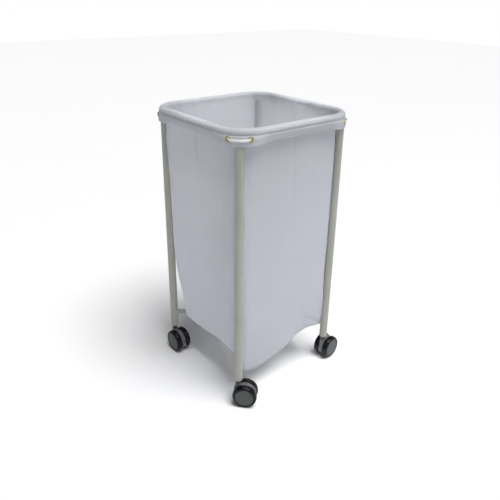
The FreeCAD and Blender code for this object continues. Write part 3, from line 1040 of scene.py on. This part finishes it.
def tyre_shape():
    """The tyre's outline, with a flat tread, a fine mould line and rounded shoulders."""
    seat = WHEEL_RADIUS - 6.45 * MM
    inner = 7.8 * MM
    outer = 26.2 * MM
    tread = WHEEL_RADIUS
    profile = [
        (seat, inner + 0.3 * MM),
        (tread - 3.2 * MM, inner),
        (tread - 1.6 * MM, inner + 0.5 * MM),
        (tread - 0.6 * MM, inner + 1.5 * MM),
        (tread - 0.15 * MM, inner + 2.8 * MM),
        (tread, inner + 4.2 * MM),
        (tread, inner + 8.0 * MM),
        (tread - 0.25 * MM, inner + 8.3 * MM),
        (tread, inner + 8.6 * MM),
        (tread - 0.1 * MM, outer - 7.0 * MM),
        (tread - 0.5 * MM, outer - 5.2 * MM),
        (tread - 1.3 * MM, outer - 3.2 * MM),
        (tread - 2.5 * MM, outer - 1.6 * MM),
        (tread - 4.0 * MM, outer - 0.5 * MM),
        (tread - 5.6 * MM, outer),
        (tread - 8.2 * MM, outer - 0.3 * MM),
        (tread - 8.9 * MM, outer - 0.9 * MM),
        (tread - 8.9 * MM, 24.6 * MM),
        (seat, 24.6 * MM),
    ]
    return lathe("tyre", profile, 96)


def cap_shape():
    """The hub cap: a shallow dish with a raised rim and the skirt that snaps into the wheel."""
    back = 24.5
    profile = [
        (0.0, back),
        (25.9, back),
        (25.9, back - 4.0),
        (27.9, back - 4.0),
        (27.9, back),
        (28.1, back),
        (28.4, back + 0.9),
        (28.0, back + 1.8),
        (27.3, back + 2.3),
        (26.5, back + 2.3),
        (26.0, back + 1.9),
        (25.3, back + 1.8),
        (20.0, back + 2.3),
        (10.0, back + 2.6),
        (0.0, back + 2.7),
    ]
    return lathe("hub_cap", [(r * MM, h * MM) for r, h in profile], 96)


def finish_piece(obj, material, body, node):
    obj.data.materials.clear()
    obj.data.materials.append(material)
    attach(obj, body)
    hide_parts(node)


def casters():
    trail = caster_trail()
    body_master = fender(trail)
    collar_master = collar()
    tyre_master = tyre_shape()
    cap_master = cap_shape()
    to_axle = Matrix.Translation((trail, 0, WHEEL_RADIUS))
    body_material = body_plastic()
    collar_material = collar_plastic()
    tyre_material = rubber()
    cap_material = cap_plastic()
    for corner in CORNER_NAMES:
        body = "caster_" + corner
        place = caster_matrix(corner)
        piece = copy_of(body_master, "caster_fender_" + corner, place)
        finish_piece(piece, body_material, body, "caster_body_" + corner)
        ring = copy_of(collar_master, "caster_collar_" + corner, place)
        finish_piece(ring, collar_material, body, "caster_body_" + corner)
        for number, side in (("1", 1), ("2", -1)):
            name = corner + "_" + number
            facing = Matrix.Identity(4) if side > 0 else Matrix.Rotation(math.pi, 4, "Z")
            where = place @ to_axle @ facing
            tyre = copy_of(tyre_master, "rubber_tyre_" + name, where)
            finish_piece(tyre, tyre_material, "wheel_" + name, "tyre_" + name)
            cap = copy_of(cap_master, "wheel_cap_" + name, where)
            finish_piece(cap, cap_material, "wheel_" + name, "hub_cap_" + name)
    for master in (body_master, collar_master, tyre_master, cap_master):
        bpy.data.objects.remove(master)


# ==== CAD nodes that stay ====


def dress_frame():
    """Gives every CAD node its finished material."""
    finishes = {
        "top_ring": paint(),
        "leg_socket": socket_plastic(),
        "caster_stem": steel(),
        "wheel_core": wheel_plastic(),
    }
    finishes["leg_front"] = finishes["top_ring"]
    finishes["leg_rear"] = finishes["top_ring"]
    finishes["brace"] = finishes["top_ring"]
    finishes["caster_axle"] = finishes["caster_stem"]
    for name, obj in frame["nodes"].items():
        for start, material in finishes.items():
            if name.startswith(start):
                for slot in obj.material_slots:
                    slot.material = material


# ==== stage ====


def floor():
    nodes = Nodes("floor")
    nodes.feed("Base Color", nodes.mix(nodes.noise(1.5), (0.94, 0.94, 0.945), (0.96, 0.96, 0.96)))
    nodes.set("Roughness", 0.8)
    size = 12.0
    corners = [(-size, -size, 0), (size, -size, 0), (size, size, 0), (-size, size, 0)]
    obj = new_object("floor", corners, [(0, 1, 2, 3)])
    obj.location.z = -0.1 * MM
    obj.data.materials.append(nodes.material)


def world():
    """White behind the cart for the camera, and a dim even light on the cart itself."""
    scene = bpy.context.scene
    scene.world = bpy.data.worlds.new("studio")
    scene.world.use_nodes = True
    tree = scene.world.node_tree
    soft = tree.nodes["Background"]
    soft.inputs["Color"].default_value = (0.95, 0.97, 1.0, 1)
    soft.inputs["Strength"].default_value = 0.12
    white = tree.nodes.new("ShaderNodeBackground")
    white.inputs["Color"].default_value = (1, 1, 1, 1)
    path = tree.nodes.new("ShaderNodeLightPath")
    chosen = tree.nodes.new("ShaderNodeMixShader")
    tree.links.new(path.outputs["Is Camera Ray"], chosen.inputs["Fac"])
    tree.links.new(soft.outputs["Background"], chosen.inputs[1])
    tree.links.new(white.outputs["Background"], chosen.inputs[2])
    tree.links.new(chosen.outputs["Shader"], tree.nodes["World Output"].inputs["Surface"])


def area_light(name, place, aim, size, power, spread):
    """A round lamp whose light spreads over an angle in degrees."""
    data = bpy.data.lights.new(name, "AREA")
    data.shape = "DISK"
    data.size = size
    data.energy = power
    data.spread = math.radians(spread)
    obj = bpy.data.objects.new(name, data)
    obj.location = place
    obj.rotation_mode = "QUATERNION"
    obj.rotation_quaternion = (Vector(aim) - Vector(place)).to_track_quat("-Z", "Y")
    bpy.context.scene.collection.objects.link(obj)


def overhead(direction, strength):
    """A broad soft light from one direction, the same all over the floor."""
    data = bpy.data.lights.new("overhead", "SUN")
    data.energy = strength
    data.angle = math.radians(36)
    obj = bpy.data.objects.new("overhead", data)
    obj.rotation_mode = "QUATERNION"
    obj.rotation_quaternion = Vector(direction).to_track_quat("Z", "Y")
    bpy.context.scene.collection.objects.link(obj)


def lights():
    overhead((0.05, -0.37, 1.0), 3.18)
    area_light("side", (2.2, -2.2, 1.6), (0, 0, 0.4), 1.2, 8, 180)
    area_light("top", (-0.36, -0.25, 2.1), (0, 0, 0.83), 0.3, 0.75, 16)


def camera():
    azimuth = math.radians(-38.99)
    elevation = math.radians(23.37)
    roll = math.radians(0.84)
    distance = 1.696
    target = Vector((0, 0, 0.502))
    back = Vector(
        (
            math.sin(azimuth) * math.cos(elevation),
            -math.cos(azimuth) * math.cos(elevation),
            math.sin(elevation),
        )
    )
    level = Vector((math.cos(azimuth), math.sin(azimuth), 0))
    upright = back.cross(level)
    right = level * math.cos(roll) + upright * math.sin(roll)
    up = upright * math.cos(roll) - level * math.sin(roll)
    data = bpy.data.cameras.new("camera")
    data.lens = 38.52
    data.shift_x = 0.0009
    data.shift_y = -0.06
    obj = bpy.data.objects.new("camera", data)
    turn = Matrix((right, up, back)).transposed().to_4x4()
    obj.matrix_world = Matrix.Translation(target + back * distance) @ turn
    bpy.context.scene.collection.objects.link(obj)
    bpy.context.scene.camera = obj
    bpy.context.scene.view_settings.view_transform = "Standard"


camera()
floor()
world()
lights()
dress_frame()
casters()
bag_piece()
eyelets_piece()
elastic_piece()
